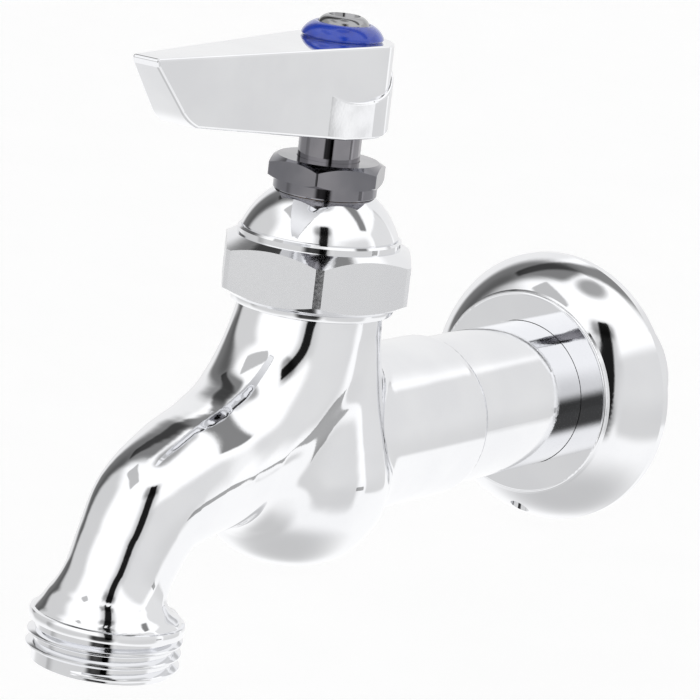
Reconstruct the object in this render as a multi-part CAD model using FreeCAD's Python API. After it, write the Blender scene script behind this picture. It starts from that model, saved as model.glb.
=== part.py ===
"""Wall-mounted hose bib with a lever handle: writes one STEP file per piece to parts/.

Frame, in millimetres: +Z up, inlet axis along Y, +Y towards the supply pipe in the wall.
The origin is the centre of the inlet's mouth. The pieces are drawn about the point where
the stem axis crosses the inlet axis, and are moved to the row's frame as they are written.
"""
import FreeCAD
import Part
import math
import os

from FreeCAD import Vector

# Driving dimensions
STEM_TO_MOUTH = 106.7        # stem axis to the inlet's mouth
STEM_TO_WALL = 85.0          # stem axis to the finished wall
RUN = 0.05                   # radial clearance of threads and running fits
SKIN = 2.8                   # thickness of the body's wall

# Body casting
GLOBE_LOW = -22.5            # lowest point of the globe
NECK_TOP = 33.5              # rim that the gasket sits on
NECK_THREAD_R = 13.2
LIP_R = 14.8                 # round lip below the bonnet cap
LIP_Z = (25.9, 27.4)
NECK_BORE_R = 10.9
GLOBE = [                    # outline of the globe and neck: radius, height
    (13.03, 23.6),
    (13.8, 17.0),
    (15.1, 9.0),
    (17.2, 0.9),
    (18.1, -5.2),
    (16.3, -13.0),
    (10.4, -19.8),
    (0.0, GLOBE_LOW),
]
BRANCH_R = 15.4
BRANCH_END = 40.8
BRANCH_ROUND = 2.1
SOCKET_R = 11.5              # socket that the shank screws into
SOCKET_START = 25.5
INLET_WAY_R = 7.0
INLET_WAY_Z = (-9.0, -1.4)   # heights of the inlet's way, under the seat and at the socket
CHAMBER_R = 11.9             # round chamber under the seat
CHAMBER_Z = -8.9
SEAT_FACE = 1.9              # face in the body that the seat screws down to
SEAT_FACE_R = 8.9

# Spout: centre line (y, z) and outer radius, from inside the neck to the flare at the outlet
SPOUT = [
    ((-0.4, 23.1), 13.3),
    ((-3.8, 12.8), 14.2),
    ((-12.5, 4.8), 13.3),
    ((-21.9, 0.6), 12.4),
    ((-31.8, -2.0), 11.4),
    ((-40.1, -5.9), 10.4),
    ((-44.8, -12.5), 9.5),
    ((-47.4, -18.2), 9.4),
    ((-48.3, -21.3), 11.0),
    ((-48.55, -23.6), 12.8),
]
SPOUT_SECTIONS = 27
OUTLET_FOOT = (-49.2, -32.85)   # centre of the outlet's end face (y, z)
OUTLET_TILT = 4.0               # degrees, the end face looks slightly forward
OUTLET_BORE_R = 8.5
OUTLET_BORE_DEPTH = 12.0
OUTLET_THROAT = (6.5, 15.0)     # radius and height where the bore narrows into the spout's way
HOSE_MAJOR_R = 13.49            # 3/4-11.5 garden hose thread
HOSE_PITCH = 25.4 / 11.5
HOSE_DEPTH = 1.2
COLLAR_R = 13.55                # smooth band above the thread
COLLAR_H = (7.2, 9.2)

# Seat and washer
SEAT_FOOT = -4.0
SEAT_TOP = 4.0
SEAT_HOLE_R = 4.3
SEAT_THREAD_R = 7.1
SEAT_FLANGE = (8.1, 3.0)     # radius and top of the seat's flange
WASHER_R = 6.2
WASHER_LOW = SEAT_TOP + 0.03
WASHER_TOP = WASHER_LOW + 2.8
HOLDER_R = WASHER_R + 0.65
SPIGOT_R = 2.45
SPIGOT_TOP = 16.1
CLIP_Z = (13.1, 14.1)        # groove for the swivel clip
CLIP_GROOVE_R = (2.0, 3.2)   # groove's floor in the spigot and in the stem

# Stem and cartridge
STEM_R = 5.62
STEM_THREAD_R = 7.93
STEM_THREAD_Z = (17.0, 24.5)
STEM_FOOT = 9.9
STEM_TOP = 68.9
O_RING_Z = (35.9, 37.7)
O_RING_GROOVE_R = 4.3
SPLINE_Z = 57.2
SPLINE_COUNT = 24
SPLINE_R = 0.4
CARTRIDGE_R = 10.8
CARTRIDGE_FOOT = 11.3
CARTRIDGE_TOP = 50.6
CLAMP_R = 12.9               # clamping flange of the cartridge
CLAMP_Z = (34.3, 36.3)
GLAND_THREAD_FOOT = 46.4
PACKING_R = 6.6
PACKING_Z = (41.5, 47.2)
PACKING_RINGS = 3
FOLLOWER_TOP = 51.3
GLAND_THREAD_R = 7.5

# Bonnet cap: hexagonal skirt with a domed top
HEX_AF = 33.0
HEX_CLOCK = 39.0             # degrees, a corner's direction from -Y towards +X
CAP_Z = (27.5, 39.6)
CAP_RIM_R = 14.8
DOME_R = 15.2
DOME_CENTRE = 34.4
DOME_HOLE_R = 8.68
DOME_RIM_R = 9.06
DOME_GROOVE = (0.42, 0.24)   # depth and height of the groove round the dome's foot
HEX_CORNER_CUT = 0.42        # how much of the corners is turned off

# Packing nut
GLAND_AF = 19.5
GLAND_CLOCK = 28.0
GLAND_Z = (46.7, 48.9, 52.9)  # collar foot, hexagon foot, top
GLAND_COLLAR_R = 9.35
GLAND_CORNER_CUT = 0.12

# Lever handle
HANDLE_Z = (58.2, 74.6)
HANDLE_TURN = 3.0            # degrees, the lever's rest direction from -Y towards +X
HUB_R = 9.06                 # stem axis to the lever's flat sides
HUB_BACK_R = 9.4             # round back of the hub
LEVER_LENGTH = 57.8
LEVER_TIP_HALF = 2.64
LEVER_ROUND = 0.5            # rounding of the lever's edges
BOSS_R = 9.95                # thicker foot of the hub
BOSS_TAPER = (1.8, 43.4)     # half-width that its sides aim at, and how far out
BOSS_FRONT = -17.5           # where its sides meet the lever's
SCOOP_R = 16.6               # hollow that thins the boss towards the top
SCOOP_CENTRE = (-4.72, 81.5)
HUB_UNDERCUT = 11.0          # degrees, the hub's foot rises towards the back
INDEX_R = (7.4, 5.15)
INDEX_Z = (74.7, 77.3)
RECESS_R = 5.38              # recess in the hub for the ring and the screw
RECESS_Z = 71.2
SCREW_R = 1.98
SCREW_FOOT = 58.5
SCREW_HEAD_R = 4.6
SCREW_CROWN = 1.4            # how far the screw's head stands above the ring

# Shank and wall flange
SHANK_R = 14.45
SHANK_BORE_R = 7.5
INLET_R = 9.88               # pitch radius of the 1/2 NPT female thread
INLET_LENGTH = 16.0
FLANGE_R = 27.0
FLANGE_FLAT_R = 20.2
FLANGE_FRONT = 73.0
FLANGE_WALL = 1.7
SET_SCREW_Y = 78.4
SET_SCREW_R = 1.9

UP = Vector(0, 0, 1)
ALONG = Vector(0, 1, 0)


def write(name, shape):
    """Move a piece from the stem's crossing point to the row's frame and write it."""
    os.makedirs("parts", exist_ok=True)
    moved = shape.copy()
    moved.translate(Vector(0, -STEM_TO_MOUTH, 0))
    if not moved.isValid():
        print("invalid:", name)
    moved.exportStep("parts/%s.step" % name)
    print("%-18s solids %d volume %9.1f" % (name, len(moved.Solids), moved.Volume))


def edges_through(points):
    """Edges of a closed outline. (a, b) is a line to a point; (m, n, a, b) an arc by way of (m, n)."""
    at = [p[-2:] for p in points]
    edges = []
    for i, step in enumerate(points):
        start = Vector(at[i - 1][0], 0, at[i - 1][1])
        end = Vector(step[-2], 0, step[-1])
        if len(step) == 4:
            middle = Vector(step[0], 0, step[1])
            edges.append(Part.Arc(start, middle, end).toShape())
        else:
            edges.append(Part.LineSegment(start, end).toShape())
    return edges


def lathe(points):
    """Solid of revolution about Z from a closed outline of (radius, height)."""
    face = Part.Face(Part.Wire(edges_through(points)))
    return face.revolve(Vector(0, 0, 0), UP, 360)


def lathe_y(points):
    """Solid of revolution about the inlet axis from a closed outline of (radius, y)."""
    solid = lathe(points)
    solid.rotate(Vector(0, 0, 0), Vector(1, 0, 0), -90)
    return solid


def ring(r_in, r_out, low, high):
    """Plain ring about the stem axis."""
    return lathe([(r_in, low), (r_out, low), (r_out, high), (r_in, high)])


def disc(radius, low, high):
    """Cylinder on the stem axis."""
    return Part.makeCylinder(radius, high - low, Vector(0, 0, low), UP)


def disc_y(radius, low, high):
    """Cylinder on the inlet axis."""
    return Part.makeCylinder(radius, high - low, Vector(0, low, 0), ALONG)


def polar(radius, degrees, z=0.0):
    """Point at an angle measured from -Y towards +X."""
    a = math.radians(degrees)
    return Vector(radius * math.sin(a), -radius * math.cos(a), z)


def hexagon(across_flats, clock, low, high):
    """Hexagonal prism with one corner at the clock angle."""
    radius = across_flats / 2 / math.cos(math.pi / 6)
    corners = [polar(radius, clock + 60 * i, low) for i in range(7)]
    face = Part.Face(Part.makePolygon(corners))
    return face.extrude(Vector(0, 0, high - low))


def chamfered_hexagon(across_flats, clock, heights, cuts, corner_cut):
    """Hexagonal prism whose corners are turned off, and at 30 degrees at bottom and top."""
    low, high = heights
    bottom_cut, top_cut = cuts
    corner = across_flats / 2 / math.cos(math.pi / 6) - corner_cut
    slope = math.tan(math.radians(30))
    bottom_cut -= corner_cut
    top_cut -= corner_cut
    turned = lathe([
        (0, low),
        (corner - bottom_cut, low),
        (corner, low + bottom_cut * slope),
        (corner, high - top_cut * slope),
        (corner - top_cut, high),
        (0, high),
    ])
    return hexagon(across_flats, clock, low, high).common(turned)


def spline_through(points, start=None, end=None):
    """Smooth curve through the points, with end tangents where given."""
    curve = Part.BSplineCurve()
    if start is None:
        curve.interpolate(Points=points)
    else:
        curve.interpolate(Points=points, InitialTangent=start, FinalTangent=end)
    return curve


def spout_tube(thin=0.0, widest=99.0):
    """Spout as a loft of circles square to its centre line, thinner by the wall for the waterway."""
    count = len(SPOUT)
    params = [float(i) for i in range(count)]
    centre = Part.BSplineCurve()
    centre.interpolate(Points=[Vector(0, y, z) for (y, z), r in SPOUT], Parameters=params)
    width = Part.BSplineCurve()
    width.interpolate(Points=[Vector(i, r, 0) for i, ((y, z), r) in enumerate(SPOUT)],
                      Parameters=params)
    wires = []
    for i in range(SPOUT_SECTIONS + 1):
        u = (count - 1) * i / SPOUT_SECTIONS
        radius = min(width.value(u).y - thin, widest)
        circle = Part.makeCircle(radius, centre.value(u), centre.tangent(u)[0])
        wires.append(Part.Wire(circle))
    return Part.makeLoft(wires, True, False)


def place_outlet(shape):
    """Move a shape drawn up the Z axis from the origin onto the outlet's axis."""
    shape.rotate(Vector(0, 0, 0), Vector(1, 0, 0), -OUTLET_TILT)
    shape.translate(Vector(0, OUTLET_FOOT[0], OUTLET_FOOT[1]))
    return shape


def outlet_end():
    """Smooth collar and hose thread below the flare, the thread as parallel ridges."""
    minor = HOSE_MAJOR_R - HOSE_DEPTH
    crest = HOSE_PITCH / 8
    rise = HOSE_PITCH / 2 - crest
    edge = 0.1
    points = [(0, 0), (minor - edge, 0), (minor, edge)]
    h = 0.15
    while h + HOSE_PITCH < COLLAR_H[0]:
        points += [
            (minor, h),
            (HOSE_MAJOR_R, h + rise - crest),
            (HOSE_MAJOR_R, h + rise),
            (minor, h + 2 * rise - crest),
        ]
        h += HOSE_PITCH
    foot, top = COLLAR_H
    flare = SPOUT[-1][1]
    points += [
        (minor, foot),
        (COLLAR_R - 0.3, foot),
        (COLLAR_R, foot + 0.3),
        (COLLAR_R, top - 0.5),
        (COLLAR_R - edge, top - edge, COLLAR_R - 0.5, top),
        (flare - 0.2, top),
        (flare - 1.0, top + 1.0),
        (0, top + 1.0),
    ]
    return place_outlet(lathe(points))


def globe_and_neck():
    """Pear-shaped valve chamber with its neck, turned about the stem axis."""
    skin = spline_through([Vector(r, 0, z) for r, z in GLOBE], Vector(0, 0, -1), Vector(-1, 0, 0))
    low, high = LIP_Z
    top = [
        GLOBE[0],
        (GLOBE[0][0] + 0.28, low - 0.9, LIP_R - 0.66, low),
        (LIP_R, low + 0.57),
        (LIP_R, high),
        (NECK_THREAD_R, high),
        (NECK_THREAD_R, NECK_TOP),
        (0, NECK_TOP),
        (0, GLOBE_LOW),
    ]
    edges = edges_through(top)[1:] + [skin.toShape()]
    face = Part.Face(Part.Wire(Part.sortEdges(edges)[0]))
    return face.revolve(Vector(0, 0, 0), UP, 360)


def branch():
    """Side barrel towards the wall, rounded at its end."""
    corner = 0.3 * BRANCH_ROUND
    return lathe_y([
        (0, 0),
        (BRANCH_R, 0),
        (BRANCH_R, BRANCH_END - BRANCH_ROUND),
        (BRANCH_R - corner, BRANCH_END - corner, BRANCH_R - BRANCH_ROUND, BRANCH_END),
        (0, BRANCH_END),
    ])


def chamber():
    """Rounded hollow under the seat."""
    ball = Part.makeSphere(CHAMBER_R, Vector(0, 0, CHAMBER_Z))
    size, top = 40, SEAT_FACE - 3.8
    return ball.common(Part.makeBox(size, size, size, Vector(-size / 2, -size / 2, top - size)))


def waterways():
    """Everything that is hollow inside the body."""
    above_seat = lathe([
        (0, SEAT_FACE),
        (SEAT_FACE_R, SEAT_FACE),
        (NECK_BORE_R, SEAT_FACE + 5.6),
        (NECK_BORE_R, NECK_TOP + 1),
        (0, NECK_TOP + 1),
    ])
    start = Vector(0, 0, INLET_WAY_Z[0])
    run = Vector(0, SOCKET_START + 3, INLET_WAY_Z[1]) - start
    throat_r, throat_top = OUTLET_THROAT
    throat = lathe([
        (0, OUTLET_BORE_DEPTH - 2),
        (OUTLET_BORE_R, OUTLET_BORE_DEPTH),
        (throat_r, throat_top),
        (0, throat_top),
    ])
    hollows = [
        chamber(),
        disc(SEAT_THREAD_R, SEAT_FOOT - 2, SEAT_FACE + 1),
        Part.makeCylinder(INLET_WAY_R, run.Length, start, run),
        disc_y(SOCKET_R, SOCKET_START, BRANCH_END + 1),
        spout_tube(SKIN, throat_r),
        place_outlet(disc(OUTLET_BORE_R, -1, OUTLET_BORE_DEPTH)),
        place_outlet(throat),
    ]
    for piece in hollows:
        above_seat = above_seat.fuse(piece)
    return above_seat


def body():
    skin = globe_and_neck().fuse(branch())
    skin = skin.fuse(spout_tube())
    skin = skin.fuse(outlet_end())
    return skin.cut(waterways())


def valve_seat():
    """Screwed-in brass seat with a raised lip."""
    thread_r = SEAT_THREAD_R - RUN
    flange_r, flange_top = SEAT_FLANGE
    lip_in, lip_out, lip_foot = 4.9, 5.6, 6.0
    return lathe([
        (SEAT_HOLE_R, SEAT_FOOT),
        (thread_r, SEAT_FOOT),
        (thread_r, SEAT_FACE),
        (flange_r, SEAT_FACE),
        (flange_r, flange_top),
        (lip_foot, flange_top),
        (lip_out, SEAT_TOP),
        (lip_in, SEAT_TOP),
        (SEAT_HOLE_R, flange_top + 0.2),
    ])


def seat_washer():
    return ring(1.6, WASHER_R, WASHER_LOW, WASHER_TOP)


def seat_washer_screw():
    """Slotted screw that holds the washer in its cup."""
    head_r, shaft_r, top = 2.9, 1.5, 9.0
    foot = WASHER_LOW - 1.8
    screw = lathe([
        (0, foot),
        (head_r - 0.8, foot),
        (head_r, foot + 0.6),
        (head_r, WASHER_LOW),
        (shaft_r, WASHER_LOW),
        (shaft_r, top),
        (0, top),
    ])
    return screw.cut(Part.makeBox(8, 0.8, 0.9, Vector(-4, -0.4, foot)))


def washer_holder():
    """Cup that holds the washer, with a spigot that swivels in the stem."""
    rim_low = WASHER_TOP - 1.7
    shoulder = WASHER_TOP + 2.8
    groove_low, groove_high = CLIP_Z
    groove_r = CLIP_GROOVE_R[0]
    holder = lathe([
        (0, WASHER_TOP),
        (WASHER_R + RUN, WASHER_TOP),
        (WASHER_R + RUN, rim_low),
        (HOLDER_R, rim_low),
        (HOLDER_R, shoulder - 0.7),
        (5.1, shoulder),
        (SPIGOT_R, shoulder),
        (SPIGOT_R, groove_low),
        (groove_r, groove_low),
        (groove_r, groove_high),
        (SPIGOT_R, groove_high),
        (SPIGOT_R, SPIGOT_TOP - 0.5),
        (groove_r, SPIGOT_TOP),
        (0, SPIGOT_TOP),
    ])
    return holder.cut(disc(1.55, WASHER_TOP - 1, 9.2))


def swivel_clip():
    """Split retaining ring between the spigot's groove and the stem's."""
    inner, outer = CLIP_GROOVE_R
    low, high = CLIP_Z
    clip = ring(inner + 0.1, outer - 0.1, low + 0.1, high - 0.1)
    gap = Part.makeBox(1.1, 6, 2, Vector(-0.55, 0, low - 0.5))
    return clip.cut(gap)


def stem():
    """Threaded stem with an O-ring groove and a splined top, drilled for two screws."""
    low, high = STEM_THREAD_Z
    bevel = 0.6
    solid = lathe([
        (0, STEM_FOOT),
        (5.1, STEM_FOOT),
        (5.6, STEM_FOOT + 0.5),
        (5.6, low),
        (STEM_THREAD_R - bevel, low),
        (STEM_THREAD_R, low + bevel),
        (STEM_THREAD_R, high - bevel),
        (STEM_THREAD_R - bevel, high),
        (STEM_R, high),
        (STEM_R, O_RING_Z[0]),
        (O_RING_GROOVE_R, O_RING_Z[0]),
        (O_RING_GROOVE_R, O_RING_Z[1]),
        (STEM_R, O_RING_Z[1]),
        (STEM_R, STEM_TOP - bevel),
        (STEM_R - bevel, STEM_TOP),
        (0, STEM_TOP),
    ])
    swivel = disc(SPIGOT_R + RUN, STEM_FOOT - 1, SPIGOT_TOP + 0.5)
    swivel = swivel.fuse(disc(CLIP_GROOVE_R[1], *CLIP_Z))
    screw_hole = disc(SCREW_R + RUN, SCREW_FOOT - 2, STEM_TOP + 1)
    solid = solid.cut(swivel).cut(screw_hole)
    foot = Vector(0, -STEM_R, SPLINE_Z)
    cutter = Part.makeCylinder(SPLINE_R, STEM_TOP - SPLINE_Z + 1, foot, UP)
    for i in range(SPLINE_COUNT):
        groove = cutter.copy()
        groove.rotate(Vector(0, 0, 0), UP, 360.0 * i / SPLINE_COUNT)
        solid = solid.cut(groove)
    return solid


def stem_o_ring():
    section_r = 0.68
    middle = (O_RING_Z[0] + O_RING_Z[1]) / 2
    return Part.makeTorus(O_RING_GROOVE_R + section_r + 0.01, section_r, Vector(0, 0, middle), UP)


def cartridge_body():
    """Inner bonnet: stem thread below, clamping flange, packing chamber and gland thread above."""
    thread_r = STEM_THREAD_R + RUN
    guide_r = STEM_R + 0.07
    sleeve_r = DOME_HOLE_R - RUN
    guide_foot = 30.2
    return lathe([
        (thread_r, CARTRIDGE_FOOT),
        (CARTRIDGE_R, CARTRIDGE_FOOT),
        (CARTRIDGE_R, CLAMP_Z[0]),
        (CLAMP_R, CLAMP_Z[0]),
        (CLAMP_R, CLAMP_Z[1]),
        (sleeve_r, CLAMP_Z[1]),
        (sleeve_r, GLAND_THREAD_FOOT),
        (GLAND_THREAD_R, GLAND_THREAD_FOOT),
        (GLAND_THREAD_R, CARTRIDGE_TOP),
        (PACKING_R, CARTRIDGE_TOP),
        (PACKING_R, PACKING_Z[0]),
        (guide_r, PACKING_Z[0]),
        (guide_r, guide_foot),
        (thread_r, guide_foot - 1.9),
    ])


def cartridge_gasket():
    return ring(NECK_BORE_R, CLAMP_R - 0.1, NECK_TOP, CLAMP_Z[0])


def stem_packing():
    """Three packing rings pressed into one sleeve round the stem."""
    low, high = PACKING_Z
    step = (high - low) / PACKING_RINGS
    rings = []
    for i in range(PACKING_RINGS):
        rings.append(ring(STEM_R + 0.02, PACKING_R, low + step * i, low + step * (i + 1)))
    return Part.makeCompound(rings)


def packing_follower():
    return ring(STEM_R + 0.06, PACKING_R - RUN, PACKING_Z[1], FOLLOWER_TOP)


def packing_nut():
    """Hexagonal gland nut on a round collar."""
    low, hex_low, top = GLAND_Z
    edge = 0.3
    collar = lathe([
        (0, low),
        (GLAND_COLLAR_R - edge, low),
        (GLAND_COLLAR_R, low + edge),
        (GLAND_COLLAR_R, hex_low),
        (0, hex_low),
    ])
    head = chamfered_hexagon(GLAND_AF, GLAND_CLOCK, (hex_low, top), (1.1, 2.1), GLAND_CORNER_CUT)
    thread = disc(GLAND_THREAD_R + RUN, low - 1, FOLLOWER_TOP)
    inside = thread.fuse(disc(STEM_R + 0.08, low, top + 1))
    return collar.fuse(head).removeSplitter().cut(inside)


def bonnet_cap():
    """Hexagonal cap nut with a round rim, a groove and a spherical dome."""
    low, top = CAP_Z
    hex_top = top - 1.4
    edge = 0.4
    skirt = chamfered_hexagon(HEX_AF, HEX_CLOCK, (low, hex_top), (3.4, 3.8), HEX_CORNER_CUT)
    rim = lathe([
        (0, hex_top - 1),
        (CAP_RIM_R, hex_top - 1),
        (CAP_RIM_R, top - edge),
        (CAP_RIM_R - edge, top),
        (0, top),
    ])
    hole_z = DOME_CENTRE + math.sqrt(DOME_R ** 2 - DOME_RIM_R ** 2)
    foot_r = math.sqrt(DOME_R ** 2 - (top - DOME_CENTRE) ** 2)
    depth, height = DOME_GROOVE
    mid = math.radians(35)
    dome = lathe([
        (0, top - 1),
        (foot_r - depth, top - 1),
        (foot_r - depth, top + height),
        (foot_r - 0.09, top + height + 0.04),
        (DOME_R * math.cos(mid), DOME_CENTRE + DOME_R * math.sin(mid), DOME_RIM_R, hole_z),
        (0, hole_z),
    ])
    thread_r = NECK_THREAD_R + RUN
    inside = lathe([
        (0, low - 1),
        (thread_r + edge, low - 1),
        (thread_r, low + edge),
        (thread_r, CLAMP_Z[1]),
        (CLAMP_R - 1.3, CLAMP_Z[1]),
        (DOME_HOLE_R + 0.2, 43.4),
        (DOME_HOLE_R, 43.8),
        (DOME_HOLE_R, hole_z + 1),
        (0, hole_z + 1),
    ])
    return skirt.fuse(rim).fuse(dome).removeSplitter().cut(inside)


def lever_plan(hub_r, back_r, tip_half, length, low, high):
    """Prism of the lever's plan: straight sides that taper to the tip, and a round back.

    The sides pass the stem axis at hub_r and run on until they meet the back's circle.
    """
    lean = math.asin((hub_r - tip_half) / length)
    run_on = math.sqrt(back_r ** 2 - hub_r ** 2)
    x = hub_r * math.cos(lean) + run_on * math.sin(lean)
    y = run_on * math.cos(lean) - hub_r * math.sin(lean)
    right, left = Vector(x, y, low), Vector(-x, y, low)
    tip_right, tip_left = Vector(tip_half, -length, low), Vector(-tip_half, -length, low)
    edges = [
        Part.Arc(right, Vector(0, back_r, low), left).toShape(),
        Part.LineSegment(left, tip_left).toShape(),
        Part.LineSegment(tip_left, tip_right).toShape(),
        Part.LineSegment(tip_right, right).toShape(),
    ]
    return Part.Face(Part.Wire(edges)).extrude(Vector(0, 0, high - low))


def lever_profile():
    """Side outline of the lever: flat top, raked end and an underside that rises to the tip."""
    low, top = HANDLE_Z
    tip, back, side = -LEVER_LENGTH, 12, 20
    outline = [
        (back, top),
        (tip, top),
        (tip + 0.5, top - 1.5),
        (tip + 7.2, top - 9.1),
        (tip + 9.1, top - 10.9, tip + 11.5, top - 12.2),
        (-20, low + 1.3),
        (-8, low),
        (back, low),
    ]
    edges = edges_through(outline)
    face = Part.Face(Part.Wire(edges))
    face.rotate(Vector(0, 0, 0), UP, 90)
    face.translate(Vector(-side, 0, 0))
    return face.extrude(Vector(2 * side, 0, 0))


def lever_hub_foot():
    """Thicker foot of the hub, hollowed towards the top."""
    low, top = HANDLE_Z
    size = 40
    boss = lever_plan(BOSS_R, BOSS_R, BOSS_TAPER[0], BOSS_TAPER[1], low, top)
    scoop = Part.makeCylinder(SCOOP_R, size, Vector(-size / 2, *SCOOP_CENTRE), Vector(1, 0, 0))
    short = Part.makeBox(size, size, size, Vector(-size / 2, BOSS_FRONT, low))
    boss = boss.common(short).common(lever_profile()).cut(scoop)
    return boss.makeFillet(LEVER_ROUND, boss.Edges)


def lever_handle():
    """Lever with a broached hub that sits on the stem's splines."""
    low, top = HANDLE_Z
    lever = lever_plan(HUB_R, HUB_BACK_R, LEVER_TIP_HALF, LEVER_LENGTH, low - 1, top + 1)
    lever = lever.common(lever_profile())
    lever = lever.makeFillet(LEVER_ROUND, lever.Edges)
    handle = lever.fuse(lever_hub_foot()).removeSplitter()
    under = Part.makeBox(40, 20, 10, Vector(-20, 0, -10))
    under.rotate(Vector(0, 0, 0), Vector(1, 0, 0), HUB_UNDERCUT)
    under.translate(Vector(0, -0.9, low))
    broach = disc(STEM_R + RUN, low - 1, STEM_TOP + 0.1)
    screw_hole = disc(SPIGOT_R, low, top + 1)
    recess = disc(RECESS_R, RECESS_Z, top + 1)
    for hollow in (under, broach, screw_hole, recess):
        handle = handle.cut(hollow)
    handle.rotate(Vector(0, 0, 0), UP, HANDLE_TURN)
    return handle


def handle_lock_washer():
    return ring(2.36, 4.6, RECESS_Z, RECESS_Z + 0.55)


def handle_screw():
    """Domed screw whose head closes the index ring."""
    head_top = INDEX_Z[1] + SCREW_CROWN
    dish = 1.0
    screw = lathe([
        (0, SCREW_FOOT),
        (SCREW_R, SCREW_FOOT),
        (SCREW_R, RECESS_Z + 1.4),
        (SCREW_HEAD_R - 0.3, RECESS_Z + 1.4),
        (SCREW_HEAD_R, RECESS_Z + 1.7),
        (SCREW_HEAD_R, INDEX_Z[1] - 0.1),
        (3.9, head_top - 0.5, 2.8, head_top - 0.05),
        (2.6, head_top - dish),
        (0, head_top - dish),
    ])
    slot = Part.makeBox(5.2, 0.9, 1.3, Vector(-2.6, -0.45, head_top - dish - 1.1))
    return screw.cut(slot)


def index_ring():
    """Coloured ring: conical outside, with a spigot in the hub's recess."""
    foot, top = INDEX_Z
    low_r, top_r = INDEX_R
    floor, step = RECESS_Z + 0.65, 0.7
    spigot_r = RECESS_R - RUN
    return lathe([
        (SPIGOT_R, floor),
        (spigot_r, floor),
        (spigot_r, foot - 0.09),
        (low_r - 0.28, foot - 0.09),
        (low_r, foot + 0.3),
        (low_r - 0.1, foot + 0.65),
        (low_r - 0.9, foot + 1.75, top_r, top),
        (SCREW_HEAD_R + 0.1, top),
        (SCREW_HEAD_R + 0.1, floor + step),
        (SPIGOT_R, floor + step),
    ])


def inlet_shank():
    """Straight shank: male end in the body, female pipe thread at the wall."""
    mouth = STEM_TO_MOUTH
    start = SOCKET_START + 1.7
    bevel = 1.1
    return lathe_y([
        (SHANK_BORE_R, start),
        (SOCKET_R - RUN, start),
        (SOCKET_R - RUN, BRANCH_END),
        (SHANK_R, BRANCH_END),
        (SHANK_R, mouth - bevel),
        (SHANK_R - bevel, mouth),
        (INLET_R, mouth),
        (INLET_R, mouth - INLET_LENGTH),
        (SHANK_BORE_R, mouth - INLET_LENGTH - 1.4),
    ])


def shank_o_ring():
    inner, outer = SHANK_BORE_R + 1.1, SOCKET_R - 0.1
    low, high = SOCKET_START, SOCKET_START + 1.7
    return lathe_y([(inner, low), (outer, low), (outer, high), (inner, high)])


def wall_flange():
    """Slip-on escutcheon: flat face, bell-shaped skirt and an inner sleeve for the set screw."""
    front, back = FLANGE_FRONT, STEM_TO_WALL
    bore, flat, rim, wall = SHANK_R + 0.08, FLANGE_FLAT_R, FLANGE_R, FLANGE_WALL
    sleeve_r, sleeve_back = 17.4, back - 3.4
    inner_front = front + wall + 1.1
    shell = lathe_y([
        (bore, front),
        (flat - 0.6, front),
        (flat - 0.1, front + 0.1, flat, front + 0.6),
        (flat + 0.3, front + 0.95),
        (rim - 2.6, front + 5.1, rim, back - 1.7),
        (rim, back),
        (rim - wall, back),
        (rim - wall, back - 1.7),
        (rim - 2.5 - wall, front + 6.4, flat - 1.1, inner_front),
        (sleeve_r, inner_front),
        (sleeve_r, sleeve_back),
        (bore, sleeve_back),
    ])
    down = Vector(0, 0, -1)
    hole = Part.makeCylinder(SET_SCREW_R, 20, Vector(0, SET_SCREW_Y, -14), down)
    pad = Part.makeCylinder(SET_SCREW_R + 1.8, 10, Vector(0, SET_SCREW_Y, -15.6), down)
    pad_in, pad_out = 16.0, rim - 0.9 - wall
    inner = lathe_y([(pad_in, front + 1), (pad_out, front + 6), (pad_out, back - 2), (pad_in, back - 2)])
    return shell.fuse(pad.common(inner)).cut(hole)


def flange_set_screw():
    """Socket set screw from below, its point on the shank."""
    tip, length, socket_depth = SHANK_R + 0.11, 6.0, 2.5
    down = Vector(0, 0, -1)
    screw = Part.makeCylinder(SET_SCREW_R - RUN, length, Vector(0, SET_SCREW_Y, -tip), down)
    socket = hexagon(1.9, 0, -tip - length - 0.5, -tip - length + socket_depth)
    socket.translate(Vector(0, SET_SCREW_Y, 0))
    return screw.cut(socket)


def flange_gasket():
    inner, outer = FLANGE_FLAT_R + 0.1, FLANGE_R - FLANGE_WALL
    low, high = STEM_TO_WALL - 1.5, STEM_TO_WALL
    return lathe_y([(inner, low), (outer, low), (outer, high), (inner, high)])


PIECES = {
    "body": body,
    "valve_seat": valve_seat,
    "seat_washer": seat_washer,
    "seat_washer_screw": seat_washer_screw,
    "washer_holder": washer_holder,
    "swivel_clip": swivel_clip,
    "stem": stem,
    "stem_o_ring": stem_o_ring,
    "cartridge_body": cartridge_body,
    "cartridge_gasket": cartridge_gasket,
    "stem_packing": stem_packing,
    "packing_follower": packing_follower,
    "packing_nut": packing_nut,
    "bonnet_cap": bonnet_cap,
    "lever_handle": lever_handle,
    "handle_lock_washer": handle_lock_washer,
    "handle_screw": handle_screw,
    "index_ring": index_ring,
    "inlet_shank": inlet_shank,
    "shank_o_ring": shank_o_ring,
    "wall_flange": wall_flange,
    "flange_set_screw": flange_set_screw,
    "flange_gasket": flange_gasket,
}

for piece_name, make in PIECES.items():
    write(piece_name, make())
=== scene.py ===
"""Looks of a wall-mounted hose bib with a lever handle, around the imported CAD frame.

The frame is in metres: +Z up, the inlet axis along Y, the wall side at +Y. Shapes are drawn in
millimetres about the point where the stem axis crosses the inlet axis, and moved into the frame.
"""

import math

import bpy
import numpy as np
from mathutils import Matrix, Vector


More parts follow.
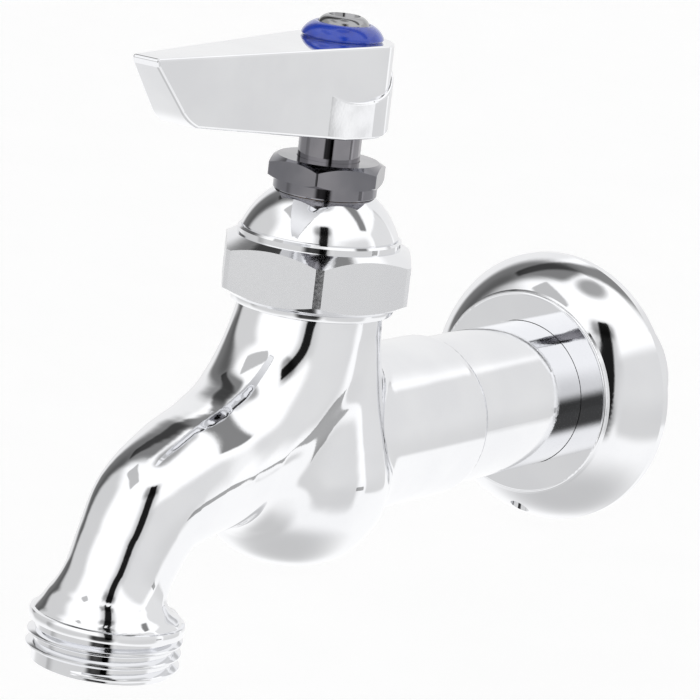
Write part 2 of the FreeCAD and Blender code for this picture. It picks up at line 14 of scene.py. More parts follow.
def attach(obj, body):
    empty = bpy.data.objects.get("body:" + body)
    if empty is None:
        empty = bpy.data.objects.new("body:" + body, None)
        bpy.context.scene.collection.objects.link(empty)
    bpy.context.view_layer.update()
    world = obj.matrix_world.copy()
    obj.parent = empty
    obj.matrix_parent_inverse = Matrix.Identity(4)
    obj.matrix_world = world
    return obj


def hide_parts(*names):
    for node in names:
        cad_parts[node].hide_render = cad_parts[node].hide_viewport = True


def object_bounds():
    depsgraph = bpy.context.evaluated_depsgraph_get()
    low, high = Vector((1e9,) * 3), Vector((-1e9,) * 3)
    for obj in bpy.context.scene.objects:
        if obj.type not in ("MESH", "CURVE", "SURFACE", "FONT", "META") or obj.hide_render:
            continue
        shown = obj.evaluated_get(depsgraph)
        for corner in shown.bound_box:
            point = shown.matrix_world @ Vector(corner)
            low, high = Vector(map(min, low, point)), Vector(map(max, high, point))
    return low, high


MM = 0.001
STEM_Y = -106.7 * MM              # stem axis; the inlet's mouth is at 0

# Camera: place in metres, and degrees
CAMERA_AT = Vector((0.35959, -0.59731, 0.16014))
CAMERA_AZIMUTH = 35.498           # of the way back to it, from -Y towards +X
CAMERA_ELEVATION = 13.122
CAMERA_ROLL = 6.764
LENS = 177.71
SENSOR = 36.0

# Body, millimetres
GLOBE = [(13.31, 31.0), (13.05, 27.0), (13.03, 23.6), (13.78, 16.99), (15.1, 8.97), (17.18, 0.94),
         (18.12, -5.19), (16.33, -13.03), (10.38, -19.82), (0.0, -22.5)]
SPOUT = [((-0.4, 23.1), 13.3), ((-3.8, 12.8), 14.2), ((-12.5, 4.8), 13.3), ((-21.9, 0.6), 12.4),
         ((-31.8, -2.0), 11.4), ((-40.1, -5.9), 10.4), ((-44.8, -12.5), 9.5), ((-47.4, -18.2), 9.4),
         ((-48.3, -21.3), 11.0), ((-48.55, -23.6), 12.8), ((-48.7, -26.0), 13.0)]
SPOUT_FILLET = 6.0
FILLET_FADE = 1.3                 # how fast a fillet grows with the turn between the surfaces
FILLET_LEAST = 0.02               # share of a fillet that is left where they run together
ROOT_CENTRE = np.array([0.0, -14.0, 10.0])     # zone where spout and neck are worked smooth
ROOT_REACH = np.array([34.0, 24.0, 24.0])
ROOT_STEEPNESS = 2.2              # how fast the zone's weight rises inwards from its edge
ROOT_ROUNDS = 320                 # rounds of smoothing in the zone
ROUNDS = 6                        # and everywhere
SHRINK = 0.6                      # share of the way to the neighbours' mean in each round
GROW = -0.62                      # and back
ROOT_GROW = -0.61
BRANCH_R = 15.4
BRANCH_END = 40.8
BRANCH_ROUND = 2.1
BRANCH_FILLET = 3.5
SKIN_TOP = 27.0                   # the skin ends inside the lip
LIP_Z = (25.9, 27.4)
LIP_R = 14.8
NECK_R = 13.2
NECK_BORE_R = 10.9
NECK_TOP = 33.5
CELL = 0.7                        # size of the skin's cells
SKIN_BOX = np.array([[-20.3, -64.0, -27.0], [20.3, 42.5, 28.0]])      # corners of the cells' grid
FLATTEST = 0.05                   # least squared gradient that a distance is divided by
NEAR_OUTSIDE = 0.5                # vertices this near the outside belong to it
PROJECTIONS = 2                   # rounds of moving vertices onto the surface
STEP = 0.02                       # for measuring a distance's gradient
TINY = 1e-6
SHARP = 35                        # degrees, edges sharper than this aren't shaded smooth

# Waterway inside the body, millimetres, with 0.05 to 0.15 of play round the pieces in it
SEAT_FACE = 1.9                   # face that the seat screws down to
NECK_CONE = ((SEAT_FACE, 7.5), (8.9, 11.0))   # heights and radii of the bore over the seat
SEAT_HOLE_R = 7.15
SEAT_HOLE_Z = (-6.0, 3.0)
CHAMBER_Z = -8.9
CHAMBER_R = 11.9
CHAMBER_TOP = -1.9
INLET_WAY = (np.array([0.0, 0.0, -9.0]), np.array([0.0, 28.5, -1.4]))
INLET_WAY_R = 7.0
SOCKET_R = 11.55
SOCKET_START = 25.5
SPOUT_WALL = 2.8
THROAT_R = 6.5
THROAT_CONE = ((12.0, 15.0), (8.65, THROAT_R))    # heights over the end face, and radii

# Dull band of the bonnet cap, metres
HEXAGON_Z = (27.0 * MM, 38.1 * MM)            # heights of the hexagon
BAND_EDGE = 0.2 * MM              # softness of the band's ends
PIT_DEPTH = 7e-6                  # depth of its grain

# Outlet, millimetres up its own axis from the end face
OUTLET_FOOT = np.array([0.0, -49.2, -32.85])
OUTLET_TILT = math.radians(4.0)
OUTLET_AXIS = np.array([0.0, math.sin(OUTLET_TILT), math.cos(OUTLET_TILT)])
COLLAR = (7.2, 9.2)
SKIN_FOOT = 7.8                   # the skin ends inside the collar
COLLAR_R = 13.55
THREAD_MAJOR_R = 13.49
THREAD_MINOR_R = 12.29
THREAD_PITCH = 25.4 / 11.5
THREAD_TURNS = 2.55
THREAD_START = 0.92               # height of the ridge's middle where it starts
THREAD_ANGLE = math.radians(-75)  # and its direction, from +X
THREAD_STEPS = 192                # in one turn
THREAD_FADE = 0.12                # turns over which each end fades out
THREAD_LOWEST = 0.05
THREAD_PROFILE = np.array([       # outwards in depths, and along the axis in millimetres
    (-0.25, -0.95), (0.0, -0.82), (0.93, -0.20), (1.0, -0.13),
    (1.0, 0.13), (0.93, 0.20), (0.0, 0.82), (-0.25, 0.95)])
OUTLET_BORE_R = 8.5

SLOT_OF = {
    "valve_seat": "brass",
    "seat_washer": "black_rubber",
    "seat_washer_screw": "brass",
    "washer_holder": "brass",
    "swivel_clip": "spring_steel",
    # the stem and packing nut get chrome with a darkened base colour: painted shade between the bonnet
    # cap and the lever's hub
    "stem": "dark_chrome",
    "stem_o_ring": "black_rubber",
    "cartridge_body": "brass",
    "cartridge_gasket": "fibre_gasket",
    "stem_packing": "graphite_packing",
    "packing_follower": "brass",
    "packing_nut": "dark_chrome",
    "bonnet_cap": "chrome_hexagon",
    "lever_handle": "chrome_handle",
    "handle_lock_washer": "spring_steel",
    # the handle screw gets chrome with a dark base colour: painted shade standing in for its dark
    # reflections
    "handle_screw": "chrome_screw",
    "index_ring": "blue_plastic",
    "inlet_shank": "chrome_turned",
    "shank_o_ring": "black_rubber",
    "wall_flange": "chrome_pressed",
    "flange_set_screw": "spring_steel",
    "flange_gasket": "foam_gasket",
    "body": "chrome_casting",
}

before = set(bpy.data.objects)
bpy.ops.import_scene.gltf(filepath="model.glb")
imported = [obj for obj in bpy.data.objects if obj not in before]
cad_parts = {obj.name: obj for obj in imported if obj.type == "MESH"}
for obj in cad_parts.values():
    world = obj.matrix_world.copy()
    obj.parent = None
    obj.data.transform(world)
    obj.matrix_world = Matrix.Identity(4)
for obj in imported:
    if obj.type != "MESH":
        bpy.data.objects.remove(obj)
cad_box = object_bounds()


# ---------------------------------------------------------------- meshes

def add_mesh(name, vertices, faces, sharp):
    """Mesh object from millimetres about the stem's crossing point."""
    mesh = bpy.data.meshes.new(name)
    points = np.asarray(vertices, float) * MM + np.array([0.0, STEM_Y, 0.0])
    mesh.from_pydata(points.tolist(), [], [list(map(int, f)) for f in faces])
    mesh.validate()
    mesh.shade_smooth()
    mesh.set_sharp_from_angle(angle=math.radians(sharp))
    piece = bpy.data.objects.new(name, mesh)
    bpy.context.scene.collection.objects.link(piece)
    return piece


def surface_net(field, low, cell):
    """One vertex for each cell that the surface crosses, one quad for each grid edge that it cuts."""
    inside = field < 0
    corners = np.zeros(tuple(n - 1 for n in field.shape), int)
    nx, ny, nz = corners.shape
    for dx, dy, dz in np.ndindex(2, 2, 2):
        corners += inside[dx:dx + nx, dy:dy + ny, dz:dz + nz]
    crossed = (corners > 0) & (corners < 8)
    index = -np.ones(corners.shape, int)
    index[crossed] = np.arange(crossed.sum())
    points = (np.argwhere(crossed) + 0.5) * cell + low
    quads = []
    for axis in range(3):
        change = np.diff(inside.astype(int), axis=axis)
        first, second = [a for a in range(3) if a != axis]
        for turn in (-1, 1):
            at = np.argwhere(change == turn)
            ring = []
            for back in ((0, 0), (1, 0), (1, 1), (0, 1)):
                near = at.copy()
                near[:, first] -= back[0]
                near[:, second] -= back[1]
                ring.append(index[tuple(near.T)])
            ring = np.stack(ring, 1)
            quads.append(ring[:, ::-1] if (turn == 1) != (axis == 1) else ring)
    return points, np.concatenate(quads)


def neighbours(quads, count):
    """The vertices that each vertex shares an edge with, and how many they are."""
    edges = np.concatenate([quads[:, [i, (i + 1) % 4]] for i in range(4)])
    ends = np.unique(np.concatenate([edges, edges[:, ::-1]]), axis=0)
    many = np.bincount(ends[:, 0], minlength=count)
    place = np.arange(len(ends)) - np.repeat(np.cumsum(many) - many, many)
    table = np.tile(np.arange(count)[:, None], (1, many.max()))
    table[ends[:, 0], place] = ends[:, 1]
    return table, many


def relaxed(points, quads, rounds, weight, grow):
    """Points moved towards and away from their neighbours' mean: smooths, and keeps the size."""
    table, many = neighbours(quads, len(points))
    spare = (table.shape[1] - many)[:, None]
    weight = np.broadcast_to(weight, len(points))[:, None]
    for i in range(rounds):
        for share in (SHRINK, grow):
            mean = (points[table].sum(1) - spare * points) / many[:, None]
            points = points + share * weight * (mean - points)
    return points


def smooth_curve(points, count):
    """Catmull-Rom points through the given ones, evenly many in each stretch."""
    p = np.asarray(points, float)
    p = np.vstack([2 * p[0] - p[1], p, 2 * p[-1] - p[-2]])
    out = []
    for a, b, c, d in zip(p, p[1:], p[2:], p[3:]):
        t = np.linspace(0, 1, count, endpoint=False)[:, None]
        out.append(0.5 * (2 * b + (c - a) * t + (2 * a - 5 * b + 4 * c - d) * t ** 2
                          + (3 * b - a - 3 * c + d) * t ** 3))
    return np.vstack(out + [p[-2:-1]])


def lathe(outline, steps=192):
    """Vertices and quads of an outline of (radius, height) turned about Z."""
    rows = len(outline)
    turns = np.linspace(0, 2 * math.pi, steps, endpoint=False)
    radius, height = np.asarray(outline, float).T
    points = np.stack([np.outer(np.cos(turns), radius), np.outer(np.sin(turns), radius),
                       np.outer(np.ones(steps), height)], 2).reshape(-1, 3)
    return points, grid_quads(steps, rows)


def grid_quads(steps, rows):
    """Quads of a grid that wraps round its steps and round its rows."""
    s, r = np.meshgrid(np.arange(steps), np.arange(rows), indexing="ij")
    s, r = s.ravel(), r.ravel()
    s2, r2 = (s + 1) % steps, (r + 1) % rows
    return np.stack([s * rows + r, s2 * rows + r, s2 * rows + r2, s * rows + r2], 1)


def on_outlet(points):
    """Points drawn up Z from the origin, moved onto the outlet's axis."""
    cos, sin = math.cos(OUTLET_TILT), math.sin(OUTLET_TILT)
    x, y, z = points.T
    return np.stack([x, y * cos + z * sin, -y * sin + z * cos], 1) + OUTLET_FOOT


# ---------------------------------------------------------------- body skin

GLOBE_STEPS = 60
GLOBE_CURVE = smooth_curve(GLOBE + [(-GLOBE[-2][0], GLOBE[-2][1])], GLOBE_STEPS)[:-GLOBE_STEPS]
GLOBE_ANGLE = np.arctan2(GLOBE_CURVE[:, 0], -GLOBE_CURVE[:, 1])[::-1]
GLOBE_RADIUS = np.hypot(GLOBE_CURVE[:, 0], GLOBE_CURVE[:, 1])[::-1]
SPOUT_CURVE = smooth_curve([(y, z, r) for (y, z), r in SPOUT], 24)
ANGLE_STEP = 0.01                 # radians, for the slope of the globe's outline
SPLIT = 20000                     # points measured at once


def globe_distance(p):
    """Distance outside the pear-shaped chamber and its neck, and the outward direction."""
    across = np.hypot(p[:, 0], p[:, 1])
    angle = np.arctan2(across, -p[:, 2])
    reach = np.interp(angle, GLOBE_ANGLE, GLOBE_RADIUS)
    rise = (np.interp(angle + ANGLE_STEP, GLOBE_ANGLE, GLOBE_RADIUS) -
            np.interp(angle - ANGLE_STEP, GLOBE_ANGLE, GLOBE_RADIUS))
    tilt = np.arctan(rise / (2 * ANGLE_STEP) / reach)
    distance = (np.linalg.norm(p, axis=1) - reach) * np.cos(tilt)
    lean = angle - tilt
    outward = np.sin(lean) / np.maximum(across, TINY)
    return distance, np.stack([p[:, 0] * outward, p[:, 1] * outward, -np.cos(lean)], 1)


def branch_distance(p):
    """Distance outside the rounded barrel towards the wall."""
    across = np.hypot(p[:, 0], p[:, 2])
    side = across - (BRANCH_R - BRANCH_ROUND)
    end = np.where(p[:, 1] > 0, p[:, 1] - (BRANCH_END - BRANCH_ROUND), -p[:, 1])
    out = np.hypot(np.maximum(side, 0), np.maximum(end, 0))
    distance = out + np.minimum(np.maximum(side, end), 0) - BRANCH_ROUND
    outward = p / np.maximum(across, TINY)[:, None]
    outward[:, 1] = 0
    return distance, outward


def spout_distance(p):
    """Distance outside the curved tube whose radius changes along its centre line, the outward
    direction, and the distance outside the way within it."""
    start, run = SPOUT_CURVE[:-1], np.diff(SPOUT_CURVE, axis=0)
    length2 = (run[:, :2] ** 2).sum(1)
    distance, outward, within = [], [], []
    for part in np.array_split(p, max(1, len(p) // SPLIT)):
        off = part[:, None, 1:] - start[None, :, :2]
        t = np.clip((off * run[None, :, :2]).sum(2) / length2, 0, 1)
        gap = off - t[:, :, None] * run[None, :, :2]
        best = (gap ** 2).sum(2).argmin(1)
        rows = np.arange(len(part))
        radial = np.column_stack([part[:, 0], gap[rows, best]])
        across = np.linalg.norm(radial, axis=1)
        radius = start[best, 2] + t[rows, best] * run[best, 2]
        distance.append(across - radius)
        outward.append(radial / np.maximum(across, TINY)[:, None])
        within.append(across - np.minimum(radius - SPOUT_WALL, THROAT_R))
    return np.concatenate(distance), np.concatenate(outward), np.concatenate(within)


def rounded_union(a, out_a, b, out_b, radius):
    """Union of two shapes with a fillet that fades out where they run into each other smoothly."""
    corner = 1 - (out_a * out_b).sum(1)
    k = radius * np.clip(FILLET_FADE * corner, FILLET_LEAST, 1)
    union = np.maximum(k, np.minimum(a, b)) - np.hypot(np.maximum(k - a, 0), np.maximum(k - b, 0))
    return union, np.where((a < b)[:, None], out_a, out_b)


def hollow_distance(p, spout_way):
    """Distance outside the waterway, from the neck's bore and the inlet's socket to the outlet."""
    x, y, z = p.T
    across = np.hypot(x, y)
    up = (p - OUTLET_FOOT) @ OUTLET_AXIS
    off_outlet = np.linalg.norm(p - OUTLET_FOOT - up[:, None] * OUTLET_AXIS, axis=1)
    start, run = INLET_WAY[0], INLET_WAY[1] - INLET_WAY[0]
    along = np.clip((p - start) @ run / (run @ run), 0, 1)
    return np.minimum.reduce([
        spout_way,
        np.maximum(across - np.interp(z, *NECK_CONE), SEAT_FACE - z),
        np.maximum(across - SEAT_HOLE_R, np.maximum(SEAT_HOLE_Z[0] - z, z - SEAT_HOLE_Z[1])),
        np.maximum(np.linalg.norm(p - [0, 0, CHAMBER_Z], axis=1) - CHAMBER_R, z - CHAMBER_TOP),
        np.linalg.norm(p - start - along[:, None] * run, axis=1) - INLET_WAY_R,
        np.maximum(np.hypot(x, z) - SOCKET_R, SOCKET_START - y),
        np.maximum(off_outlet - np.interp(up, *THROAT_CONE), up - THROAT_CONE[0][1]),
    ])


def body_parts(p):
    """Distance outside the body as if it were solid, and distance outside its hollow."""
    *spout, spout_way = spout_distance(p)
    shape = rounded_union(*globe_distance(p), *spout, SPOUT_FILLET)
    shape = rounded_union(*shape, *branch_distance(p), BRANCH_FILLET)[0]
    above_collar = (p - OUTLET_FOOT) @ OUTLET_AXIS - SKIN_FOOT
    shape = np.maximum(np.maximum(shape, -above_collar), p[:, 2] - SKIN_TOP)
    return shape, hollow_distance(p, spout_way)


def body_distance(p):
    solid, hollow = body_parts(p)
    return np.maximum(solid, -hollow)


def on_surface(points, distance, rounds):
    """Points moved along the distance's gradient until they lie on its zero."""
    for i in range(rounds):
        gradient = np.empty_like(points)
        for axis in range(3):
            shift = np.zeros(3)
            shift[axis] = STEP
            gradient[:, axis] = (distance(points + shift) - distance(points - shift)) / (2 * STEP)
        size = (gradient ** 2).sum(1)
        points = points - gradient * (distance(points) / np.maximum(size, FLATTEST))[:, None]
    return points


def root_weight(p):
    """1 where the spout leaves the neck, fading to 0 away from it."""
    away = np.linalg.norm((p - ROOT_CENTRE) / ROOT_REACH, axis=1)
    return np.clip(ROOT_STEEPNESS * (1 - away), 0, 1)


def casting_mesh():
    """Neck, globe, spout and branch as one smooth casting with its waterway."""
    low, high = SKIN_BOX
    count = np.ceil((high - low) / CELL).astype(int)
    ticks = [low[i] + CELL * np.arange(count[i] + 1) for i in range(3)]
    grid = np.stack(np.meshgrid(*ticks, indexing="ij"), -1)
    field = body_distance(grid.reshape(-1, 3)).reshape(grid.shape[:3])
    points, quads = surface_net(field, low, CELL)
    points = on_surface(points, body_distance, PROJECTIONS)
    points = relaxed(points, quads, ROUNDS, 1.0, GROW)
    outer = np.abs(body_parts(points)[0]) < NEAR_OUTSIDE
    return relaxed(points, quads, ROOT_ROUNDS, root_weight(points) * outer, ROOT_GROW), quads


def thread_mesh():
    """Ridge of the hose thread: a helix with flat crests that fades out at both ends."""
    turns = np.arange(0, THREAD_TURNS + TINY, 1 / THREAD_STEPS)
    fade = np.clip(np.minimum(turns, THREAD_TURNS - turns) / THREAD_FADE, 0.02, 1)[:, None]
    out, along = THREAD_PROFILE.T
    depth = THREAD_MAJOR_R - THREAD_MINOR_R
    radius = THREAD_MINOR_R + depth * out * np.where(out > 0, fade, 1)
    height = THREAD_START + THREAD_PITCH * turns[:, None] + along * (0.4 + 0.6 * fade)
    height = np.maximum(height, THREAD_LOWEST)
    angle = 2 * math.pi * turns[:, None] + THREAD_ANGLE
    points = np.stack([radius * np.cos(angle), radius * np.sin(angle), height], 2)
    rows = len(THREAD_PROFILE)
    quads = grid_quads(len(turns), rows)[:-rows]
    ends = np.array([[0, 1, 2, 7], [7, 2, 3, 6], [3, 4, 5, 6]])
    ends = np.concatenate([ends[:, ::-1], ends + rows * (len(turns) - 1)])
    return on_outlet(points.reshape(-1, 3)), np.concatenate([quads, ends])


def outlet_mesh():
    """Collar, thread's root and bore of the outlet as one closed ring."""
    foot, top = COLLAR
    collar = [(THREAD_MINOR_R, foot), (COLLAR_R - 0.35, foot), (COLLAR_R - 0.1, foot + 0.1),
              (COLLAR_R, foot + 0.35), (COLLAR_R, top - 0.5), (COLLAR_R - 0.12, top - 0.16),
              (COLLAR_R - 0.5, top - 0.02), (12.3, top), (11.0, top + 0.2)]
    inside = [(OUTLET_BORE_R, top + 0.2), (OUTLET_BORE_R, 0.35), (OUTLET_BORE_R + 0.35, 0.0),
              (THREAD_MINOR_R - 0.15, 0.0)]
    points, quads = lathe([(THREAD_MINOR_R, 0.15)] + collar + inside, 288)
    return on_outlet(points), quads


def neck_mesh():
    """Lip and threaded neck under the bonnet cap."""
    low, high = LIP_Z
    return lathe([(NECK_BORE_R, low - 2), (12.0, low - 2), (12.9, low - 0.6), (13.4, low - 0.25),
                  (LIP_R - 0.5, low), (LIP_R - 0.1, low + 0.2), (LIP_R, low + 0.6), (LIP_R, high - 0.3),
                  (LIP_R - 0.3, high), (NECK_R, high), (NECK_R, NECK_TOP), (NECK_BORE_R, NECK_TOP)])


def make_body():
    vertices, faces, total = [], [], 0
    for points, quads in (casting_mesh(), outlet_mesh(), thread_mesh(), neck_mesh()):
        vertices.append(points)
        faces.append(quads + total)
        total += len(points)
    skin = add_mesh("body_skin", np.concatenate(vertices), np.concatenate(faces), SHARP)
    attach(skin, "valve_body")
    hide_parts("body")
    return skin


# ---------------------------------------------------------------- materials

# Noise scales, features to a metre
TONE_SCALE = 70
SMUDGE_SCALE = 120
WAVE_SCALE = 95
GRAIN_SCALE = 1600
DULL_SCALE = 2200
PIT_SCALE = 5000


class Graph:
    """Short names for building a material's nodes."""

    def __init__(self, name, material=None):
        self.material = material or bpy.data.materials.new(name)
        self.material.use_nodes = True
        self.tree = self.material.node_tree
        self.shader = self.tree.nodes["Principled BSDF"]
        place = self.tree.nodes.new("ShaderNodeTexCoord")
        self.place = place.outputs["Object"]
        self.normal = place.outputs["Normal"]

    def link(self, source, socket):
        self.tree.links.new(source, socket)

    def noise(self, scale, detail=3.0, rough=0.5):
        node = self.tree.nodes.new("ShaderNodeTexNoise")
        node.inputs["Scale"].default_value = scale
        node.inputs["Detail"].default_value = detail
        node.inputs["Roughness"].default_value = rough
        self.link(self.place, node.inputs["Vector"])
        return node.outputs["Fac"]

    def ramp(self, factor, low, high, start=0.3, end=0.7):
        """A value or colour from low to high, as the factor goes from start to end."""
        node = self.tree.nodes.new("ShaderNodeMapRange")
        node.interpolation_type = "SMOOTHSTEP"
        for key, value in (("From Min", start), ("From Max", end), ("To Min", low), ("To Max", high)):
            node.inputs[key].default_value = value
        self.link(factor, node.inputs["Value"])
        return node.outputs["Result"]

    def mix(self, factor, first, second):
        node = self.tree.nodes.new("ShaderNodeMix")
        node.data_type = "RGBA"
        node.inputs["A"].default_value = (*first, 1)
        node.inputs["B"].default_value = (*second, 1)
        self.link(factor, node.inputs["Factor"])
        return node.outputs["Result"]

    def product(self, first, second):
        node = self.tree.nodes.new("ShaderNodeMath")
        node.operation = "MULTIPLY"
        self.link(first, node.inputs[0])
        self.link(second, node.inputs[1])
        return node.outputs[0]

    def blend(self, factor, first, second):
        """A value that goes from the first to the second."""
        node = self.tree.nodes.new("ShaderNodeMix")
        node.data_type = "FLOAT"
        for key, source in (("Factor", factor), ("A", first), ("B", second)):
            self.link(source, node.inputs[key])
        return node.outputs["Result"]

    def bump(self, height, distance, normal=None):
        node = self.tree.nodes.new("ShaderNodeBump")
        node.inputs["Distance"].default_value = distance
        self.link(height, node.inputs["Height"])
        if normal is not None:
            self.link(normal, node.inputs["Normal"])
        return node.outputs["Normal"]


def metal(name, light, dark, rough, wave=2e-5, grain=1.5e-6):
    """Metal with a faint variation of tone, smudged roughness, slow waviness and a fine grain."""
    g = Graph(name)
    g.shader.inputs["Metallic"].default_value = 1.0
    g.link(g.mix(g.ramp(g.noise(TONE_SCALE), 0, 1), light, dark), g.shader.inputs["Base Color"])
    smudge = g.noise(SMUDGE_SCALE, 6, 0.6)
    g.link(g.ramp(smudge, rough[0], rough[1], 0.42, 0.75), g.shader.inputs["Roughness"])
    slow = g.bump(g.noise(WAVE_SCALE, 1), wave)
    fine = g.bump(g.noise(GRAIN_SCALE, 2), grain, slow)
    g.link(fine, g.shader.inputs["Normal"])
    return g.material


def hexagon_metal(name, light, dark, rough, dull, heights):
    """Bright metal, duller and finely pitted on its upright faces between two heights."""
    material = metal(name, light, dark, rough, wave=1.2e-5, grain=3e-6)
    g = Graph(name, material)
    split = g.tree.nodes.new("ShaderNodeSeparateXYZ")
    g.link(g.place, split.inputs["Vector"])
    low, high = heights
    over = g.ramp(split.outputs["Z"], 0, 1, low - BAND_EDGE, low + BAND_EDGE)
    under = g.ramp(split.outputs["Z"], 1, 0, high - BAND_EDGE, high + BAND_EDGE)
    facing = g.tree.nodes.new("ShaderNodeSeparateXYZ")
    g.link(g.normal, facing.inputs["Vector"])
    size = g.product(facing.outputs["Z"], facing.outputs["Z"])
    upright = g.ramp(size, 1, 0, 0.01, 0.06)
    band = g.product(g.product(over, under), upright)
    bright = g.shader.inputs["Roughness"].links[0].from_socket
    g.link(g.blend(band, bright, g.ramp(g.noise(DULL_SCALE), *dull)), g.shader.inputs["Roughness"])
    pits = g.bump(g.product(g.noise(PIT_SCALE, 2), band), PIT_DEPTH,
                  g.shader.inputs["Normal"].links[0].from_socket)
    g.link(pits, g.shader.inputs["Normal"])
    return material


def matte(name, light, dark, rough, scale, depth, coat=0.0):
    """Rubber, fibre or plastic with mottled colour and a grained surface."""
    g = Graph(name)
    g.shader.inputs["Coat Weight"].default_value = coat
    g.shader.inputs["Coat Roughness"].default_value = 0.08
    g.link(g.mix(g.ramp(g.noise(scale), 0, 1), light, dark), g.shader.inputs["Base Color"])
    g.link(g.ramp(g.noise(scale * 2, 5), rough[0], rough[1]), g.shader.inputs["Roughness"])
    g.link(g.bump(g.noise(scale * 4, 4), depth), g.shader.inputs["Normal"])
    return g.material


def make_materials():
    return {
        "chrome_casting": metal("chrome_casting", (0.90, 0.905, 0.92), (0.86, 0.865, 0.885),
                                (0.025, 0.07), wave=3e-5),
        "chrome_turned": metal("chrome_turned", (0.89, 0.895, 0.91), (0.85, 0.855, 0.875),
                               (0.05, 0.12), wave=1.2e-5, grain=3e-6),
        "chrome_hexagon": hexagon_metal("chrome_hexagon", (0.89, 0.895, 0.91), (0.85, 0.855, 0.875),
                                        (0.04, 0.1), (0.22, 0.3), HEXAGON_Z),
        "chrome_pressed": metal("chrome_pressed", (0.90, 0.905, 0.92), (0.86, 0.865, 0.885),
                                (0.025, 0.07), wave=2.5e-5),
        "chrome_handle": metal("chrome_handle", (0.90, 0.905, 0.92), (0.85, 0.855, 0.875),
                               (0.03, 0.09), wave=1.5e-5, grain=5e-7),
        # chrome with a dark base colour: painted shade on the handle screw, standing in for the dark
        # reflections on its head
        "chrome_screw": metal("chrome_screw", (0.42, 0.42, 0.43), (0.26, 0.26, 0.27), (0.08, 0.2)),
        # chrome with a darkened base colour: painted shade on the stem and packing nut, which sit
        # between the bonnet cap and the lever's hub
        "dark_chrome": metal("dark_chrome", (0.34, 0.33, 0.35), (0.20, 0.20, 0.22), (0.07, 0.2)),
        "brass": metal("brass", (0.83, 0.62, 0.28), (0.70, 0.48, 0.20), (0.18, 0.35)),
        "spring_steel": metal("spring_steel", (0.55, 0.55, 0.56), (0.42, 0.42, 0.43), (0.2, 0.4)),
        "black_rubber": matte("black_rubber", (0.03, 0.03, 0.032), (0.015, 0.015, 0.016),
                              (0.45, 0.7), 500, 2e-5),
        "foam_gasket": matte("foam_gasket", (0.08, 0.08, 0.085), (0.03, 0.03, 0.03),
                             (0.7, 0.95), 900, 8e-5),
        "fibre_gasket": matte("fibre_gasket", (0.42, 0.10, 0.06), (0.30, 0.07, 0.04),
                              (0.6, 0.85), 700, 4e-5),
        "graphite_packing": matte("graphite_packing", (0.10, 0.10, 0.11), (0.04, 0.04, 0.045),
                                  (0.35, 0.6), 900, 6e-5),
        "blue_plastic": matte("blue_plastic", (0.010, 0.055, 0.52), (0.006, 0.035, 0.40),
                              (0.16, 0.28), 260, 1e-6, coat=0.7),
    }


# ---------------------------------------------------------------- stage

# Cards of the studio: azimuth from -Y towards +X, elevation, half-width, half-height and softness
# in degrees, and how bright each is
CARDS = [
    (44, 20, 6, 36, 2, 0.02),         # gap in front, over and under the camera
    (44, 14, 12, 36, 9, 0.55),        # its soft edges
    (33, -16, 16, 15, 8, 0.06),       # wide foot of the gap
    (42, 50, 11, 6, 5, 0.35),         # dark bar across its top
    (-40, 57, 15, 6, 1.5, 0.5),       # seam of the tent
    (-102, 35, 14, 40, 9, 0.2),       # gap at the left
    (-72, 12, 28, 30, 14, 0.6),       # shaded wall beside it
    (-168, 68, 48, 7, 4, 0.22),       # seam at the back
    (152, 8, 21, 25, 3, 0.72),        # greyer wall at the right
    (123, -9.5, 5, 2.4, 0.5, 0.4),    # its fold
    (88, 2, 32, 32, 10, 0.69),        # wall between that and the gap in front
    (-16, -13, 40, 14, 9, 0.67),      # greyer wall in front, low
    (-138, 16, 46, 32, 9, 0.8),       # shaded wall behind, which the outlines mirror
]
TENT = 1.16                       # brightness of the tent's walls
TABLE = 1.06                      # brightness of the table
NADIR = 0.62                      # and of the table right under the object
ZENITH = 0.35                     # share of it in the small dark hole straight above
FLOOR_GLOW = 0.2
FLOOR_SIZE = 4.0                  # metres, half of the floor's width
FLOOR_DROP = 0.12                 # metres under the object


def direction(azimuth, elevation):
    a, e = math.radians(azimuth), math.radians(elevation)
    return Vector((math.sin(a) * math.cos(e), -math.cos(a) * math.cos(e), math.sin(e)))


def make_camera():
    camera = bpy.data.objects.new("camera", bpy.data.cameras.new("camera"))
    bpy.context.scene.collection.objects.link(camera)
    backward = direction(CAMERA_AZIMUTH, CAMERA_ELEVATION)
    level = backward.to_track_quat("Z", "Y").to_matrix().to_4x4()
    roll = Matrix.Rotation(math.radians(CAMERA_ROLL), 4, "Z")
    camera.matrix_world = Matrix.Translation(CAMERA_AT) @ level @ roll
    camera.data.lens = LENS
    camera.data.sensor_width = SENSOR
    camera.data.clip_end = 50
    bpy.context.scene.camera = camera


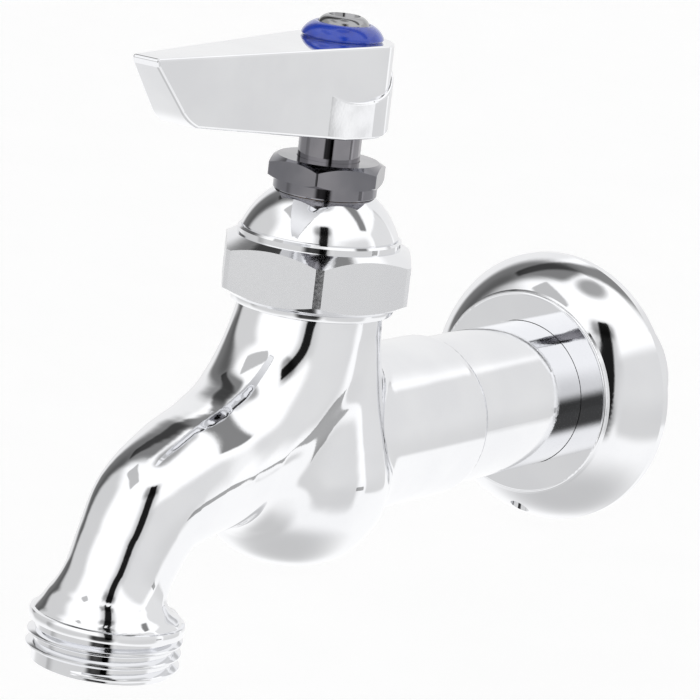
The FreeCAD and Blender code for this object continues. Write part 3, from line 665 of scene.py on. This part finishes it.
class Sky:
    """Short names for building the world's nodes."""

    def __init__(self):
        world = bpy.data.worlds.new("studio")
        bpy.context.scene.world = world
        world.use_nodes = True
        self.tree = world.node_tree
        self.toward = self.node("ShaderNodeTexCoord").outputs["Generated"]

    def node(self, kind, **settings):
        node = self.tree.nodes.new(kind)
        for key, value in settings.items():
            setattr(node, key, value)
        return node

    def math(self, operation, a, b):
        node = self.node("ShaderNodeMath", operation=operation)
        for socket, value in zip(node.inputs, (a, b)):
            if isinstance(value, (int, float)):
                socket.default_value = value
            else:
                self.tree.links.new(value, socket)
        return node.outputs[0]

    def along(self, axis):
        node = self.node("ShaderNodeVectorMath", operation="DOT_PRODUCT")
        node.inputs[1].default_value = axis
        self.tree.links.new(self.toward, node.inputs[0])
        return node.outputs["Value"]

    def fade(self, value, start, end, low, high):
        node = self.node("ShaderNodeMapRange", interpolation_type="SMOOTHSTEP")
        for key, number in (("From Min", start), ("From Max", end), ("To Min", low), ("To Max", high)):
            node.inputs[key].default_value = number
        self.tree.links.new(value, node.inputs["Value"])
        return node.outputs["Result"]

    def card(self, azimuth, elevation, half_width, half_height, softness):
        """1 inside a soft-edged rectangle seen in that direction, 0 outside."""
        middle = direction(azimuth, elevation)
        right = middle.cross(Vector((0, 0, 1))).normalized()
        ahead = self.math("MAXIMUM", self.along(middle), 0.01)
        mask = self.fade(self.along(middle), 0.0, 0.1, 0, 1)
        for axis, half in ((right, half_width), (right.cross(middle), half_height)):
            reach = math.tan(math.radians(half))
            soft = math.tan(math.radians(softness))
            side = self.math("ABSOLUTE", self.math("DIVIDE", self.along(axis), ahead), 0.0)
            mask = self.math("MULTIPLY", mask, self.fade(side, reach - soft, reach + soft, 1, 0))
        return mask


def make_world():
    """White tent with a few dark gaps, seen by the object only; the camera sees a plain wall."""
    sky = Sky()
    height = sky.along(Vector((0, 0, 1)))
    light = sky.fade(height, -1.0, -0.65, NADIR / TABLE, 1)
    light = sky.math("MULTIPLY", light, sky.fade(height, -0.25, 0.1, TABLE, TENT))
    light = sky.math("MULTIPLY", light, sky.fade(height, 0.97, 0.995, 1, ZENITH))
    for *place, value in CARDS:
        shade = sky.fade(sky.card(*place), 0, 1, 1, value)
        light = sky.math("MULTIPLY", light, shade)
    seen = sky.node("ShaderNodeLightPath").outputs["Is Camera Ray"]
    plain = sky.node("ShaderNodeMix", data_type="FLOAT")
    plain.inputs["B"].default_value = 1.0
    sky.tree.links.new(seen, plain.inputs["Factor"])
    sky.tree.links.new(light, plain.inputs["A"])
    sky.tree.links.new(plain.outputs["Result"], sky.tree.nodes["Background"].inputs["Strength"])
    sky.tree.nodes["Background"].inputs["Color"].default_value = (1, 1, 1, 1)


def make_floor():
    size, level = FLOOR_SIZE, cad_box[0][2] - FLOOR_DROP
    mesh = bpy.data.meshes.new("floor")
    mesh.from_pydata([(-size, -size, level), (size, -size, level), (size, size, level),
                      (-size, size, level)], [], [(0, 1, 2, 3)])
    floor = bpy.data.objects.new("floor", mesh)
    bpy.context.scene.collection.objects.link(floor)
    floor.visible_glossy = False
    paper = matte("floor_paper", (0.95, 0.95, 0.95), (0.94, 0.94, 0.94), (0.8, 0.95), 30, 1e-5)
    shader = paper.node_tree.nodes["Principled BSDF"]
    shader.inputs["Emission Color"].default_value = (1, 1, 1, 1)
    shader.inputs["Emission Strength"].default_value = FLOOR_GLOW
    floor.data.materials.append(paper)


make_camera()
make_world()
make_floor()
bpy.context.scene.view_settings.view_transform = "Standard"

materials = make_materials()
for name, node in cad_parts.items():
    node.data.materials.clear()
    node.data.materials.append(materials[SLOT_OF[name]])
make_body().data.materials.append(materials["chrome_casting"])
